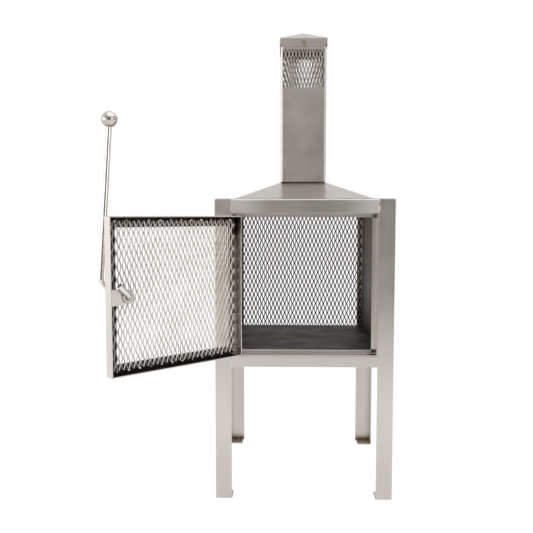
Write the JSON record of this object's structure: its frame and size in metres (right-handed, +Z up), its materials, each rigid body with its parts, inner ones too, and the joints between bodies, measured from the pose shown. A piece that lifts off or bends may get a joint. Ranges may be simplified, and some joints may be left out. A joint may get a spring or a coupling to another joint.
{
  "type": "chiminea",
  "caption": "Square four-legged steel chiminea: firebox with a hinged mesh door and lever latch, pyramid hood, square flue with mesh spark arrestor and cap.",
  "frame": {"origin": "on the ground, at the centre of the four feet", "axes": "+Z up along the flue, +X to the right of someone facing the door, +Y from the door to the back"},
  "size_m": [0.8362, 0.8843, 1.498],
  "materials": {
    "brushed_steel": "brushed stainless sheet and angle, with bright weld beads and brown heat tint beside them",
    "sooted_steel": "stainless sheet dulled by heat and soot inside the firebox",
    "mesh_steel": "raised expanded stainless mesh, browned where it is welded",
    "polished_steel": "polished stainless bar and ball"
  },
  "bodies": {
    "frame": {"leg_front_left": "brushed_steel", "leg_front_right": "brushed_steel", "leg_rear_left": "brushed_steel", "leg_rear_right": "brushed_steel", "foot_plate_front_left": "brushed_steel", "foot_plate_front_right": "brushed_steel", "foot_plate_rear_left": "brushed_steel", "foot_plate_rear_right": "brushed_steel", "top_rail_front": "brushed_steel", "top_rail_rear": "brushed_steel", "top_rail_left": "brushed_steel", "top_rail_right": "brushed_steel", "bottom_rail_front": "brushed_steel", "bottom_rail_rear": "brushed_steel", "bottom_rail_left": "brushed_steel", "bottom_rail_right": "brushed_steel", "door_jamb_left": "brushed_steel", "door_jamb_right": "brushed_steel", "door_sill": "brushed_steel", "door_header": "brushed_steel", "side_panel_left": "sooted_steel", "side_panel_right": "sooted_steel", "hearth_plate": "sooted_steel", "rear_mesh_panel": "mesh_steel", "hood": "brushed_steel", "flue_collar": "brushed_steel", "flue_tube": "brushed_steel", "spark_arrestor": "mesh_steel", "chimney_cap": "brushed_steel", "lower_hinge_socket": "brushed_steel", "lower_hinge_pin": "polished_steel", "upper_hinge_socket": "brushed_steel", "upper_hinge_pin": "polished_steel"},
    "door": {"lower_hinge_barrel": "brushed_steel", "upper_hinge_barrel": "brushed_steel", "door_rail_bottom": "brushed_steel", "door_rail_top": "brushed_steel", "door_stile_free": "brushed_steel", "door_stile_hinge": "brushed_steel", "door_mesh_panel": "mesh_steel", "latch_plate": "brushed_steel", "latch_bush": "polished_steel"},
    "handle": {"handle_bar": "polished_steel", "handle_ball": "polished_steel"}
  },
  "joints": [
    {"name": "door_hinge", "type": "hinge", "parent": "frame", "child": "door", "pos_m": [-0.217, -0.2824, 0.676], "axis": [0, 0, 1], "range_deg": [-43.1, 136.9]},
    {"name": "handle_pivot", "type": "hinge", "parent": "door", "child": "handle", "pos_m": [-0.49196, -0.54984, 0.6724], "axis": [0.6833, -0.7302, 0], "range_deg": [-35, 50]}
  ]
}
